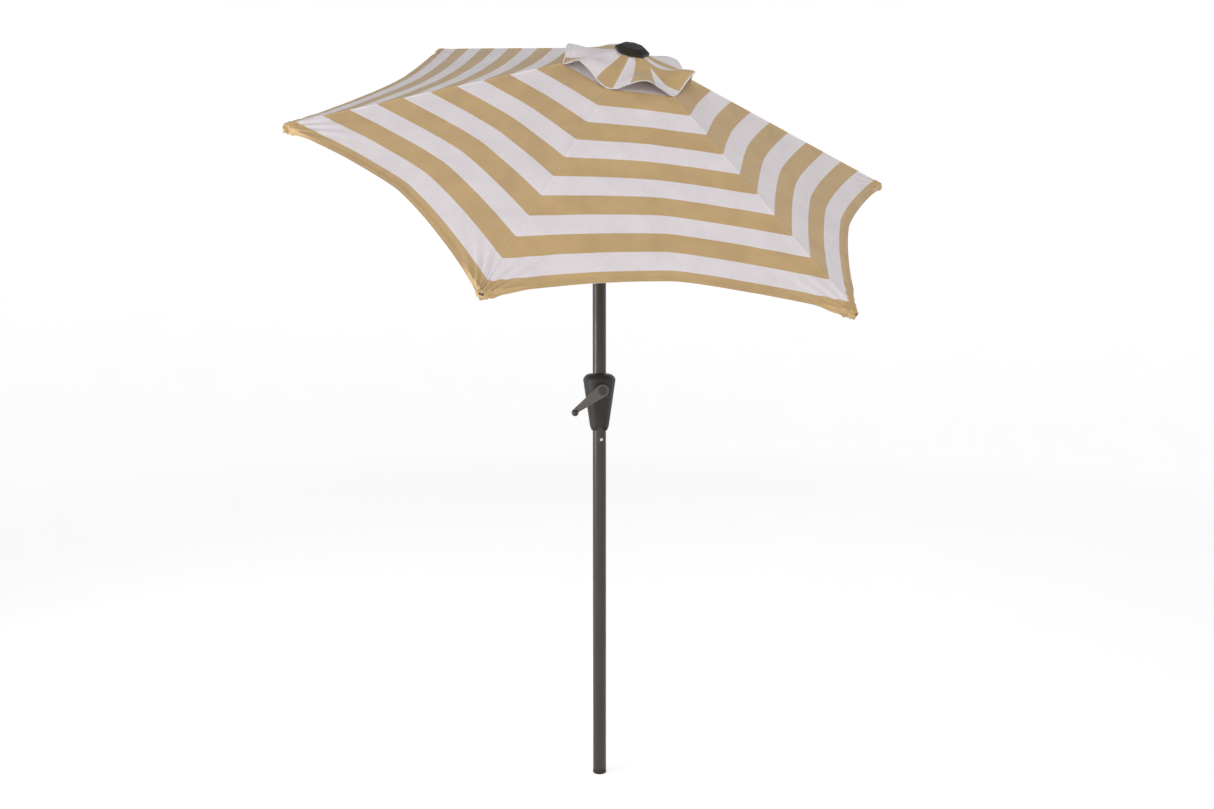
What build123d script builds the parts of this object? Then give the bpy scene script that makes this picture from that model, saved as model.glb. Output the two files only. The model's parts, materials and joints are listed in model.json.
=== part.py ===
from build123d import *
import math
import os

# Tilting crank umbrella, shown open and leaned over. Millimetres and degrees.
# The origin is the centre of the pole's foot and +Z runs up the lower pole.
os.makedirs("parts", exist_ok=True)

# ---- Poles -------------------------------------------------------------------
pole_r = 19.0  # both poles and the tilting pole are 38 mm tube
pole_wall = 1.5
lower_pole_top = 1003.0
pivot_height = 1607.0  # tilt hinge above the foot
tilt_azimuth = -71.0  # the way the umbrella leans, about +Z from +X
tilt_angle = 35.0  # the lean shown here, which is the end of the tilt
plug_gap = 0.05  # radial gap of everything that plugs into a tube
running_gap = 0.05  # radial gap of every pin and shaft that turns
foot_plug_depth = 24.0  # inside the pole
foot_plug_wall = 2.5
foot_flange = 12.0  # the foot's full-width part, below the pole
foot_edge = 0.5
sleeve_length = 150.0  # coupling sleeve inside the pole joint
sleeve_in_lower_pole = 72.0
sleeve_wall = 2.0

# ---- Snap button of the pole joint --------------------------------------------
snap_height = 977.0
snap_azimuth = -72.0
snap_button_r = 4.5
snap_hole_gap = 0.5
snap_button_proud = 2.5
snap_flange_r = 6.5
snap_flange_thickness = 1.6
snap_flange_gap = 0.1
button_edge = 1.8  # rounding of both buttons
spring_strip = 0.8
spring_width = 9.0
spring_leg = 42.0
spring_bend = 8.0
spring_front_end = 7.0  # above the button's centre
spring_rear_end = 12.0

# ---- Crank housing and crank ----------------------------------------------------
crank_height = 1116.5
crank_azimuth = -80.0
housing_bottom = 1002.0
housing_taper_bottom = 1013.5
housing_widest = 1145.5
housing_top = 1163.0
housing_bottom_r = pole_r + 3.5
housing_taper_r = pole_r + 7.8
housing_widest_r = pole_r + 27.0
housing_top_r = pole_r + 5.0
housing_wall = 3.2
housing_collar = 20.0  # height of the lower collar that grips the pole
housing_top_wall = 5.0
shoulder_bulge = 3.4
arch_half_width = 18.0
arch_height = 13.0
crank_boss_r = 20.0
crank_boss_face = housing_widest_r + 1.3
crank_boss_root = housing_widest_r - 8.0  # the boss starts here, inside the shell's wall
bushing_r = 9.0
bushing_inner_reach = pole_r - 5.0
bushing_rear_reach = pole_r + 1.5
shaft_r = 6.0
shaft_rear = pole_r + 1.0
shaft_edge = 0.5
shaft_end_gap = 0.1  # between the shaft's end and the arm's cap
drum_r = 9.0
drum_flange_r = 13.0
drum_half_width = 8.5
drum_flange = 2.0
winding_end_gap = 0.1
cord_r = 1.5
brake_spring_r = 12.0
brake_spring_start = pole_r + 3.0
brake_spring_end = housing_widest_r - 9.5
brake_spring_turns = 6
brake_spring_gap = 0.2  # to the bushing inside it
brake_spring_groove = 0.8  # depth between two turns
brake_turn_share = 0.8  # of the pitch that a turn fills
screw_r = 1.6
screw_head_r = 3.2
screw_head_gap = 0.2
screw_head_height = 2.4
screw_slot = 3.0
screw_slot_width = 0.9
screw_slot_depth = 1.2
screw_reach = 11.0
screw_tip_gap = 0.5
screw_boss_r = 4.0
upper_screws = (pole_r + 10.0, 1131.0, 26.5, 12.0)  # across, height, boss reach, seat
lower_screws = (pole_r + screw_boss_r + 0.3, 1046.0, 14.5, 7.0)
arm_length = 99.0
arm_direction = 216.0  # from the housing's right, seen from the crank's side
arm_hub_r = 17.6
arm_cap_r = 13.3
arm_cap_height = 1.2
arm_end_r = 6.4
arm_back = crank_boss_face + 0.9
arm_thickness = 8.0
knob_pin_r = 2.6
knob_gap = 0.6
knob_neck_r = 4.6
knob_ball_r = 9.5
knob_ball_reach = 20.0
knob_pin_into_ball = 4.0
arm_edge = 1.2
arm_cap_cover = 1.5  # how much of the arm covers the shaft's end

# ---- Tilt joint -------------------------------------------------------------------
knuckle_r = pole_r + 2.0
knuckle_edge = 1.0
knuckle_root = 2.0  # how far the ears run on into the collar
knuckle_boss_r = 14.0
knuckle_shoulder = 15.0  # from the hinge to the solid part of either knuckle
bore_lead = 0.01  # how far the bores start past that part's face
socket_collar_height = 20.0
knuckle_plug_length = 35.0
knuckle_bore_r = 10.0
ear_inner = 3.0
ear_outer = 8.0
cheek_gap = 0.3
tilt_pin_r = 4.0
tilt_pin_half_length = knuckle_r - 2.5
tilt_pin_edge = 0.6
fork_collar_top = 44.0
button_level = 29.0
button_r = 7.0
button_bore_gap = 0.3
button_seat = knuckle_r - 8.5
button_inner = button_seat + 3.0
button_outer = knuckle_r + 3.5
button_spring_r = 4.5
button_spring_hole_r = 3.3

# ---- Ribs, struts, hub and runner ----------------------------------------------------
rib_count = 6
first_rib_azimuth = 266.0  # about the umbrella's own axis, from the way it leans
rib_slope = 19.2  # degrees below level, open
canopy_apex_r = 30.0  # the cloth starts here, at the height canopy_apex
canopy_apex = 445.0  # above the tilt hinge
canopy_reach = 850.0  # along a rib, apex ring to tip
cloth_to_rib = 11.0  # cloth down to the rib's centreline
rib_pivot_r = pole_r + 15.0
rib_height = 14.0
rib_width = 10.0
rib_wall = 1.2
rib_corner = 2.0
rib_eye_width = 8.0
rib_eye_end = 13.0
rib_tube_start = 9.0
tip_inset = 4.0
tip_head = 26.0
tip_plug = 22.0
tip_height = 16.0
tip_width = 12.0
tip_corner = 3.0
bracket_place = 180.0  # along the rib
strut_drop = rib_height / 2 + 7.0  # rib centreline to strut pivot
strut_height = 10.0
strut_width = 8.0
strut_wall = 1.2
strut_web = 1.2
strut_end = 8.0
bracket_length = 26.0
bracket_plate = 1.5
bracket_lip = 3.0  # how far the plates reach up the rib past its centreline
bracket_reach = strut_drop + 5.0
bracket_pin_proud = 0.8
bracket_pin_r = 2.0
joint_pin_r = 2.5
hub_pin_half_length = 10.0
hub_pin_end_gap = 0.2
hub_r = rib_pivot_r + 10.0
hub_edge = 2.0
hub_drop = 10.5
hub_slot_width = 10.8
hub_slot_clearance = 0.6
hub_body_height = 19.5
hub_cap_r = rib_pivot_r - 5.0
hub_socket_depth = 14.0
runner_gap = 0.4
runner_r = pole_r + 6.0
runner_edge = 1.5
runner_below = 22.0
runner_above = 38.0
ear_gap = 0.5
ear_thickness = 3.0
ear_reach = rib_pivot_r + 7.0
ear_root = 3.0  # the ears start this far outside the pole
ear_below = 7.0
ear_above = 9.0
slot_gap = 0.1
strut_pin_half_length = 8.6

# ---- Pulley, finial, cloth ----------------------------------------------------------------
pulley_level = 395.0
pulley_r = pole_r - 8.8
pulley_width = 5.0
pulley_pin_r = 2.0
pulley_pin_inset = 0.4  # from the pole's outside
pulley_rim = 1.0  # of the rim beside the groove
pulley_slot_depth = 6.0  # into the pole's side
pulley_slot_gap = 0.6  # each side of the pulley
pulley_slot_end = 3.0  # above and below the pulley
cord_groove_gap = 0.2
cord_inside = 6.5  # the cord's distance behind the tilt hinge
cord_clear = 0.2
cord_off_pole = 1.0  # between the cord outside the pole and the pole
cord_lead = 20.0  # straight cord before and after a bend
cord_bend_r = 200.0
cord_start_gap = 0.5  # above the winding
finial_r = 44.0
finial_height = 15.0
finial_slope = (9.0, 14.0)  # height and width of the sloped top edge
finial_edge = 1.0
finial_base_gap = 1.0
finial_neck_r = 20.0
finial_stud_r = 4.0
finial_stud_length = 10.0
finial_stud_gap = 0.4
cloth = 1.2
cloth_seam_gap = 0.5
cloth_start_r = 62.0
hem_bow = 70.0  # how far the hem curves in between two tips
flap_start_r = 49.0
flap_reach = 146.0
flap_rise = 5.0
flap_bow = 12.0
cut = 1.0  # how far a cut runs past the face it opens

# ---- What follows from them ------------------------------------------------------------------
bore_r = pole_r - pole_wall
plug_r = bore_r - plug_gap
main_pole_top = pivot_height - knuckle_shoulder - socket_collar_height
slope = math.radians(rib_slope)
rib_pivot_z = (
    canopy_apex
    - (rib_pivot_r - canopy_apex_r) * math.tan(slope)
    - cloth_to_rib / math.cos(slope)
)
rib_origin_along = (rib_pivot_r - canopy_apex_r) / math.cos(
    slope
) + cloth_to_rib * math.tan(slope)
tip_along = canopy_reach - rib_origin_along
rib_end = tip_along - tip_inset - tip_head
link = math.hypot(bracket_place, strut_drop)  # rib pivot to bracket pivot, and the strut
link_slope = rib_slope + math.degrees(math.atan2(strut_drop, bracket_place))
runner_z = rib_pivot_z - 2 * link * math.sin(math.radians(link_slope))
pulley_groove_r = pulley_r - cord_r - pulley_rim
pulley_cord_r = pulley_groove_r + cord_clear + cord_r
pulley_x = pole_r + cord_r + cord_off_pole - pulley_cord_r
cord_front = pulley_x + pulley_cord_r
cord_back = pulley_x - pulley_cord_r
drum_cord_r = drum_r + cord_r
winding_r = drum_r + 2 * cord_r
rib_names = "abcdef"[:rib_count]
rib_pitch = 360 / rib_count


def direction(azimuth, rise=0.0):
    """The unit vector at an azimuth about +Z and an angle above level."""
    a, e = math.radians(azimuth), math.radians(rise)
    return (math.cos(a) * math.cos(e), math.sin(a) * math.cos(e), math.sin(e))


def on(frame, at=(0, 0, 0), turn=(0, 0, 0)):
    """A plane at a place, and turned, in another plane's own axes."""
    return Plane(frame.location * Location(at, turn))


def along_x(frame, at=(0, 0, 0)):
    """The plane there whose normal is the frame's own x."""
    return on(frame, at, (0, 90, 0))


def sideways(frame, at=(0, 0, 0)):
    """The plane there that holds the frame's x and z, for a profile seen from the side."""
    return on(frame, at, (90, 0, 0))


def outward(frame):
    """The frame's own z as an axis, for picking edges and faces along it."""
    return Axis(frame.origin, frame.z_dir)


def keep(piece, name):
    piece.label = name
    export_step(piece, f"parts/{name}.step")


foot = Plane.XY
snap = Plane((0, 0, snap_height), direction(snap_azimuth + 90), direction(snap_azimuth))
crank = Plane((0, 0, crank_height), direction(crank_azimuth + 90), direction(crank_azimuth))
knuckle = Plane((0, 0, pivot_height), direction(tilt_azimuth), (0, 0, 1))
upper = Plane(
    (0, 0, pivot_height),
    direction(tilt_azimuth, -tilt_angle),
    direction(tilt_azimuth, 90 - tilt_angle),
)


def spoke(number):
    """The upright plane of one rib: x outwards, z up the umbrella's axis."""
    return on(upper, (0, 0, 0), (0, 0, first_rib_azimuth + rib_pitch * number))


def rib_frame(number):
    """x along the rib from its pivot, z away from the rib towards the cloth."""
    return on(spoke(number), (rib_pivot_r, 0, rib_pivot_z), (0, rib_slope, 0))


def strut_frame(number):
    """x along the strut, from its pivot on the rib to its pivot on the runner."""
    a = math.radians(link_slope)
    at = (rib_pivot_r + link * math.cos(a), 0, rib_pivot_z - link * math.sin(a))
    return on(spoke(number), at, (0, 180 - link_slope, 0))


# ---- Poles ---------------------------------------------------------------------------
with BuildPart() as lower_pole:
    with BuildSketch(foot.offset(foot_flange)):
        Circle(pole_r)
        Circle(bore_r, mode=Mode.SUBTRACT)
    extrude(amount=lower_pole_top - foot_flange)
    rim = lower_pole.edges().group_by(Axis.Z)[0].sort_by(SortBy.RADIUS)[-1]
    chamfer(rim, foot_edge)
    with BuildSketch(snap):
        Circle(snap_button_r + snap_hole_gap)
    extrude(amount=pole_r + cut, mode=Mode.SUBTRACT)
keep(lower_pole.part, "lower_pole")

with BuildPart() as foot_plug:
    with BuildSketch(foot):
        Circle(pole_r)
    extrude(amount=foot_flange)
    chamfer(foot_plug.edges().group_by(Axis.Z)[-1], foot_edge)
    with BuildSketch(foot.offset(foot_flange)):
        Circle(plug_r)
    extrude(amount=foot_plug_depth)
    with BuildSketch(foot.offset(foot_flange)):
        Circle(plug_r - foot_plug_wall)
    extrude(amount=foot_plug_depth, mode=Mode.SUBTRACT)
keep(foot_plug.part, "foot_plug")

with BuildPart() as joint_sleeve:
    with BuildSketch(foot.offset(lower_pole_top - sleeve_in_lower_pole)):
        Circle(plug_r)
        Circle(plug_r - sleeve_wall, mode=Mode.SUBTRACT)
    extrude(amount=sleeve_length)
    with BuildSketch(snap):
        Circle(snap_button_r + running_gap)
    extrude(amount=pole_r, mode=Mode.SUBTRACT)
keep(joint_sleeve.part, "joint_sleeve")

with BuildPart() as main_pole:
    with BuildSketch(foot.offset(lower_pole_top)):
        Circle(pole_r)
        Circle(bore_r, mode=Mode.SUBTRACT)
    extrude(amount=main_pole_top - lower_pole_top)
    with BuildSketch(crank):
        Circle(bushing_r + plug_gap)
    extrude(amount=pole_r + cut, both=True, mode=Mode.SUBTRACT)
keep(main_pole.part, "main_pole")

# ---- Snap button -------------------------------------------------------------------------
sleeve_inner_r = plug_r - sleeve_wall
snap_flange_face = math.sqrt(sleeve_inner_r**2 - snap_flange_r**2) - snap_flange_gap
snap_flange_back = snap_flange_face - snap_flange_thickness
with BuildPart() as snap_button:
    with BuildSketch(snap.offset(snap_flange_back)):
        Circle(snap_button_r)
    extrude(amount=pole_r + snap_button_proud - snap_flange_back)
    fillet(snap_button.edges().sort_by(outward(snap))[-1], button_edge)
    with BuildSketch(snap.offset(snap_flange_back)):
        Circle(snap_flange_r)
    extrude(amount=snap_flange_thickness)
keep(snap_button.part, "snap_button")

spring_front = snap_flange_back - spring_strip / 2
spring_rear = (
    math.sqrt(sleeve_inner_r**2 - (spring_width / 2) ** 2) - spring_strip / 2 - snap_flange_gap
)
with BuildPart() as snap_spring:
    with BuildSketch(along_x(snap)):
        with BuildLine():
            FilletPolyline(
                (-spring_front, spring_front_end),
                (-spring_front, -spring_leg),
                (spring_rear, -spring_leg),
                (spring_rear, spring_rear_end),
                radius=spring_bend,
            )
        trace(line_width=spring_strip)
    extrude(amount=spring_width / 2, both=True)
keep(snap_spring.part, "snap_spring")

# ---- Crank housing ---------------------------------------------------------------------
def housing_shell(first_azimuth):
    """Half of the housing's shell, turned about the pole from one azimuth to the opposite one."""
    wall_plane = Plane(
        (0, 0, 0), direction(first_azimuth), direction(first_azimuth - 90)
    )
    grip_r = pole_r + plug_gap
    with BuildPart() as shell:
        with BuildSketch(wall_plane):
            with BuildLine():
                Polyline(
                    (housing_top_r, housing_top),
                    (grip_r, housing_top),
                    (grip_r, housing_bottom),
                    (housing_bottom_r, housing_bottom),
                    (housing_taper_r, housing_taper_bottom),
                    (housing_widest_r, housing_widest),
                )
                ThreePointArc(
                    (housing_widest_r, housing_widest),
                    (
                        (housing_widest_r + housing_top_r) / 2 + shoulder_bulge,
                        (housing_widest + housing_top) / 2 + shoulder_bulge,
                    ),
                    (housing_top_r, housing_top),
                )
            make_face()
            with BuildLine():
                inner_low = housing_bottom + housing_collar
                taper = (housing_widest_r - housing_taper_r) / (
                    housing_widest - housing_taper_bottom
                )
                low_r = housing_taper_r + taper * (inner_low - housing_taper_bottom)
                Polyline(
                    (pole_r - cut, inner_low),
                    (low_r - housing_wall, inner_low),
                    (housing_widest_r - housing_wall, housing_widest),
                    (housing_top_r + housing_wall, housing_top - housing_top_wall),
                    (pole_r - cut, housing_top - housing_top_wall),
                    close=True,
                )
            make_face(mode=Mode.SUBTRACT)
        revolve(axis=Axis.Z, revolution_arc=180)
    return shell.part


def screw_places(frame):
    """(frame at a screw, boss reach, head seat) for the four screws."""
    for across, height, reach, seat in (upper_screws, lower_screws):
        for side in (-1, 1):
            yield on(frame, (side * across, height - crank_height, 0)), reach, seat


with BuildPart() as housing_front:
    add(housing_shell(crank_azimuth - 90))
    with BuildSketch(crank.offset(crank_boss_root)):
        Circle(crank_boss_r)
    extrude(amount=crank_boss_face - crank_boss_root)
    for place, reach, _ in screw_places(crank):
        with BuildSketch(place):
            Circle(screw_boss_r)
        extrude(amount=reach)
        with BuildSketch(place):
            Circle(screw_r + running_gap)
        extrude(amount=screw_reach + screw_tip_gap, mode=Mode.SUBTRACT)
    with BuildSketch(crank):
        Circle(bushing_r + plug_gap)
    extrude(amount=crank_boss_face + cut, mode=Mode.SUBTRACT)
    with BuildSketch(on(crank, (0, housing_bottom - crank_height, 0))):
        with BuildLine():
            ThreePointArc((-arch_half_width, -cut), (0, arch_height), (arch_half_width, -cut))
            Line((arch_half_width, -cut), (-arch_half_width, -cut))
        make_face()
    extrude(amount=housing_widest_r, mode=Mode.SUBTRACT)
keep(housing_front.part, "housing_front")

with BuildPart() as housing_back:
    add(housing_shell(crank_azimuth + 90))
    for place, reach, seat in screw_places(crank):
        with BuildSketch(place):
            Circle(screw_boss_r)
        extrude(amount=-reach)
        with BuildSketch(place):
            Circle(screw_r + running_gap)
        extrude(amount=-seat, mode=Mode.SUBTRACT)
        with BuildSketch(place.offset(-seat)):
            Circle(screw_head_r + screw_head_gap)
        extrude(amount=-housing_widest_r, mode=Mode.SUBTRACT)
keep(housing_back.part, "housing_back")

with BuildPart() as housing_screws:
    for place, _, seat in screw_places(crank):
        with BuildSketch(place.offset(-seat)):
            Circle(screw_r)
        extrude(amount=seat + screw_reach)
        with BuildSketch(place.offset(-seat)):
            Circle(screw_head_r)
        extrude(amount=-screw_head_height)
        with BuildSketch(place.offset(-seat - screw_head_height)):
            SlotCenterToCenter(screw_slot, screw_slot_width)
            SlotCenterToCenter(screw_slot, screw_slot_width, rotation=90)
        extrude(amount=screw_slot_depth, mode=Mode.SUBTRACT)
keep(housing_screws.part, "housing_screws")

with BuildPart() as shaft_bushings:
    for start, end in (
        (bushing_inner_reach, crank_boss_face),
        (-bushing_rear_reach, -bushing_inner_reach),
    ):
        with BuildSketch(crank.offset(start)):
            Circle(bushing_r)
            Circle(shaft_r + running_gap, mode=Mode.SUBTRACT)
        extrude(amount=end - start)
keep(shaft_bushings.part, "shaft_bushings")

spring_coil_pitch = (brake_spring_end - brake_spring_start) / brake_spring_turns
with BuildPart() as brake_spring:
    for turn in range(brake_spring_turns):
        with BuildSketch(crank.offset(brake_spring_start + turn * spring_coil_pitch)):
            Circle(brake_spring_r)
            Circle(bushing_r + brake_spring_gap, mode=Mode.SUBTRACT)
        extrude(amount=spring_coil_pitch * brake_turn_share)
    with BuildSketch(crank.offset(brake_spring_start)):
        Circle(brake_spring_r - brake_spring_groove)
        Circle(bushing_r + brake_spring_gap, mode=Mode.SUBTRACT)
    extrude(amount=spring_coil_pitch * (brake_spring_turns - 1 + brake_turn_share))
keep(brake_spring.part, "brake_spring")

# ---- Crank -----------------------------------------------------------------------------
arm_face = arm_back + arm_thickness
with BuildPart() as crank_shaft:
    with BuildSketch(crank.offset(-shaft_rear)):
        Circle(shaft_r)
    extrude(amount=shaft_rear + arm_face - arm_cap_cover - shaft_end_gap)
    chamfer(crank_shaft.edges().filter_by(GeomType.CIRCLE), shaft_edge)
keep(crank_shaft.part, "crank_shaft")

with BuildPart() as cord_drum:
    for start, width, radius in (
        (-drum_half_width, 2 * drum_half_width, drum_r),
        (-drum_half_width - drum_flange, drum_flange, drum_flange_r),
        (drum_half_width, drum_flange, drum_flange_r),
    ):
        with BuildSketch(crank.offset(start)):
            Circle(radius)
            Circle(shaft_r + plug_gap, mode=Mode.SUBTRACT)
        extrude(amount=width)
    with BuildSketch(crank.offset(winding_end_gap - drum_half_width)):
        Circle(winding_r)
        Circle(drum_r + plug_gap, mode=Mode.SUBTRACT)
    extrude(amount=2 * (drum_half_width - winding_end_gap))
keep(cord_drum.part, "cord_drum")

arm_plane = on(crank, (0, 0, arm_back), (0, 0, arm_direction))
knob_axis = on(arm_plane, (arm_length, 0, 0))
knob_start = arm_thickness + knob_gap
ball_centre = knob_start + knob_ball_reach - knob_gap
with BuildPart() as crank_arm:
    with BuildSketch(arm_plane):
        Circle(arm_hub_r)
        with Locations((arm_length, 0)):
            Circle(arm_end_r)
        make_hull()
    extrude(amount=arm_thickness)
    front_face = crank_arm.faces().sort_by(outward(arm_plane))[-1]
    fillet(front_face.edges(), arm_edge)
    with BuildSketch(arm_plane.offset(arm_thickness)):
        Circle(arm_cap_r)
    extrude(amount=arm_cap_height)
    with BuildSketch(arm_plane):
        Circle(shaft_r + plug_gap)
    extrude(amount=arm_thickness - arm_cap_cover, mode=Mode.SUBTRACT)
    with BuildSketch(knob_axis.offset(arm_thickness)):
        Circle(knob_pin_r)
    extrude(amount=ball_centre + knob_pin_into_ball - arm_thickness)
keep(crank_arm.part, "crank_arm")

with BuildPart() as crank_knob:
    with BuildSketch(sideways(knob_axis)):
        with BuildLine():
            neck_angle = math.asin(knob_neck_r / knob_ball_r)
            neck_join = ball_centre - knob_ball_r * math.cos(neck_angle)
            Polyline(
                (0, ball_centre + knob_ball_r),
                (0, knob_start),
                (knob_neck_r, knob_start),
                (knob_neck_r, neck_join),
            )
            ThreePointArc(
                (knob_neck_r, neck_join),
                (knob_ball_r, ball_centre),
                (0, ball_centre + knob_ball_r),
            )
        make_face()
    revolve(axis=outward(knob_axis))
    with BuildSketch(knob_axis):
        Circle(knob_pin_r + running_gap)
    extrude(amount=ball_centre + knob_pin_into_ball + knob_gap, mode=Mode.SUBTRACT)
keep(crank_knob.part, "crank_knob")

# ---- Tilt joint ---------------------------------------------------------------------------
with BuildPart() as tilt_socket:
    with BuildSketch(knuckle.offset(-knuckle_shoulder)):
        Circle(knuckle_r)
    extrude(amount=-socket_collar_height)
    chamfer(tilt_socket.edges().group_by(Axis.Z)[-1], knuckle_edge)
    with BuildSketch(knuckle.offset(-knuckle_shoulder - socket_collar_height)):
        Circle(plug_r)
    extrude(amount=-knuckle_plug_length)
    with BuildSketch(sideways(knuckle)):
        Circle(knuckle_boss_r)
        with Locations((0, -knuckle_shoulder / 2 - knuckle_root)):
            Rectangle(2 * knuckle_boss_r, knuckle_shoulder + 2 * knuckle_root)
    extrude(amount=ear_outer, both=True)
    with BuildSketch(sideways(knuckle)):
        Rectangle(4 * knuckle_boss_r, 2 * knuckle_shoulder)
    extrude(amount=ear_inner, both=True, mode=Mode.SUBTRACT)
    with BuildSketch(knuckle.offset(bore_lead - knuckle_shoulder)):
        Circle(knuckle_bore_r)
    extrude(
        amount=-socket_collar_height - knuckle_plug_length - cut, mode=Mode.SUBTRACT
    )
    with BuildSketch(sideways(knuckle)):
        Circle(tilt_pin_r + running_gap)
    extrude(amount=ear_outer + cut, both=True, mode=Mode.SUBTRACT)
keep(tilt_socket.part, "tilt_socket")

button_frame = on(upper, (0, 0, button_level), (0, -90, 0))
with BuildPart() as tilt_fork:
    with BuildSketch(sideways(upper)):
        Circle(knuckle_boss_r)
        with Locations((0, knuckle_shoulder / 2 + knuckle_root)):
            Rectangle(2 * knuckle_boss_r, knuckle_shoulder + 2 * knuckle_root)
    extrude(amount=knuckle_r, both=True)
    with BuildSketch(upper.offset(knuckle_shoulder)):
        Circle(knuckle_r)
    extrude(amount=fork_collar_top - knuckle_shoulder)
    with BuildSketch(upper.offset(-knuckle_boss_r - cut)):
        Circle(knuckle_r)
    extrude(amount=fork_collar_top + knuckle_boss_r + cut, mode=Mode.INTERSECT)
    with BuildSketch(upper.offset(fork_collar_top)):
        Circle(plug_r)
    extrude(amount=knuckle_plug_length)
    with BuildSketch(sideways(upper)):
        Rectangle(4 * knuckle_boss_r, 2 * knuckle_shoulder)
    extrude(amount=ear_outer + cheek_gap, both=True, mode=Mode.SUBTRACT)
    with BuildSketch(upper.offset(knuckle_shoulder - bore_lead)):
        Circle(knuckle_bore_r)
    extrude(amount=fork_collar_top + knuckle_plug_length, mode=Mode.SUBTRACT)
    with BuildSketch(sideways(upper)):
        Circle(tilt_pin_r + plug_gap)
    extrude(amount=knuckle_r + cut, both=True, mode=Mode.SUBTRACT)
    with BuildSketch(button_frame.offset(button_seat)):
        Circle(button_r + button_bore_gap)
    extrude(amount=knuckle_r, mode=Mode.SUBTRACT)
keep(tilt_fork.part, "tilt_fork")

with BuildPart() as tilt_pin:
    with BuildSketch(sideways(upper)):
        Circle(tilt_pin_r)
    extrude(amount=tilt_pin_half_length, both=True)
    chamfer(tilt_pin.edges().filter_by(GeomType.CIRCLE), tilt_pin_edge)
keep(tilt_pin.part, "tilt_pin")

with BuildPart() as tilt_button:
    with BuildSketch(button_frame.offset(button_inner)):
        Circle(button_r)
    extrude(amount=button_outer - button_inner)
    fillet(tilt_button.edges().sort_by(outward(button_frame))[-1], button_edge)
keep(tilt_button.part, "tilt_button")

with BuildPart() as tilt_button_spring:
    with BuildSketch(button_frame.offset(button_seat)):
        Circle(button_spring_r)
        Circle(button_spring_hole_r, mode=Mode.SUBTRACT)
    extrude(amount=button_inner - button_seat)
keep(tilt_button_spring.part, "tilt_button_spring")

# ---- Tilting pole, hub, pulley ---------------------------------------------------------------
hub_bottom = rib_pivot_z - hub_drop
tilt_pole_top = hub_bottom + hub_socket_depth
pulley_frame = on(upper, (-pulley_x, 0, pulley_level))
with BuildPart() as tilt_pole:
    with BuildSketch(upper.offset(fork_collar_top)):
        Circle(pole_r)
        Circle(bore_r, mode=Mode.SUBTRACT)
    extrude(amount=tilt_pole_top - fork_collar_top)
    with BuildSketch(on(upper, (-pole_r, 0, pulley_level))):
        Rectangle(2 * pulley_slot_depth, pulley_width + 2 * pulley_slot_gap)
    extrude(amount=pulley_r + pulley_slot_end, both=True, mode=Mode.SUBTRACT)
    with BuildSketch(sideways(pulley_frame)):
        Circle(pulley_pin_r + plug_gap)
    extrude(amount=pole_r, both=True, mode=Mode.SUBTRACT)
keep(tilt_pole.part, "tilt_pole")

with BuildPart() as hub_pulley:
    with BuildSketch(Plane(pulley_frame.origin, pulley_frame.x_dir, -pulley_frame.y_dir)):
        Circle(pulley_r)
        Circle(pulley_pin_r + running_gap, mode=Mode.SUBTRACT)
    extrude(amount=pulley_width / 2, both=True)
    groove_depth = pulley_r - pulley_groove_r
    with BuildSketch(pulley_frame):
        with Locations((pulley_r, 0)):
            Rectangle(2 * groove_depth, 2 * (cord_r + cord_groove_gap))
    revolve(axis=Axis(pulley_frame.origin, pulley_frame.y_dir), mode=Mode.SUBTRACT)
keep(hub_pulley.part, "hub_pulley")

with BuildPart() as top_hub:
    with BuildSketch(upper.offset(hub_bottom)):
        Circle(hub_r)
    extrude(amount=hub_body_height)
    chamfer(top_hub.edges().sort_by(outward(upper))[0], hub_edge)
    for number in range(rib_count):
        outer_half = hub_r - rib_pivot_r + rib_height / 2 + hub_slot_clearance
        slot_centre = hub_r + cut - outer_half / 2
        with BuildSketch(on(spoke(number), (slot_centre, 0, hub_bottom - cut))):
            Rectangle(outer_half + 2 * cut, hub_slot_width)
        extrude(amount=hub_body_height + 2 * cut, mode=Mode.SUBTRACT)
        with BuildSketch(sideways(spoke(number), (rib_pivot_r, 0, rib_pivot_z))):
            Circle(joint_pin_r + plug_gap)
        extrude(amount=hub_pin_half_length + hub_pin_end_gap, both=True, mode=Mode.SUBTRACT)
    with BuildSketch(upper.offset(hub_bottom)):
        Circle(pole_r + plug_gap)
    extrude(amount=hub_socket_depth, mode=Mode.SUBTRACT)
    with BuildSketch(upper.offset(hub_bottom + hub_body_height)):
        Circle(hub_cap_r)
    extrude(amount=canopy_apex - hub_bottom - hub_body_height)
    with BuildSketch(upper.offset(canopy_apex + cut)):
        Circle(finial_stud_r + plug_gap)
    extrude(amount=-finial_stud_length - cut, mode=Mode.SUBTRACT)
keep(top_hub.part, "top_hub")

with BuildPart() as hub_pins:
    for number in range(rib_count):
        with BuildSketch(sideways(spoke(number), (rib_pivot_r, 0, rib_pivot_z))):
            Circle(joint_pin_r)
        extrude(amount=hub_pin_half_length, both=True)
    with BuildSketch(sideways(pulley_frame)):
        Circle(pulley_pin_r)
    extrude(amount=math.sqrt(pole_r**2 - pulley_x**2) - pulley_pin_inset, both=True)
keep(hub_pins.part, "hub_pins")

finial_base = canopy_apex + finial_base_gap
with BuildPart() as finial:
    with BuildSketch(upper.offset(finial_base)):
        RegularPolygon(finial_r, 8, rotation=22.5)
    extrude(amount=finial_height)
    chamfer(finial.faces().sort_by(outward(upper))[-1].edges(), *finial_slope)
    chamfer(finial.faces().sort_by(outward(upper))[0].edges(), finial_edge)
    with BuildSketch(upper.offset(canopy_apex)):
        Circle(finial_neck_r)
    extrude(amount=finial_base_gap)
    with BuildSketch(upper.offset(canopy_apex)):
        Circle(finial_stud_r)
    extrude(amount=finial_stud_gap - finial_stud_length)
keep(finial.part, "finial")

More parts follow.
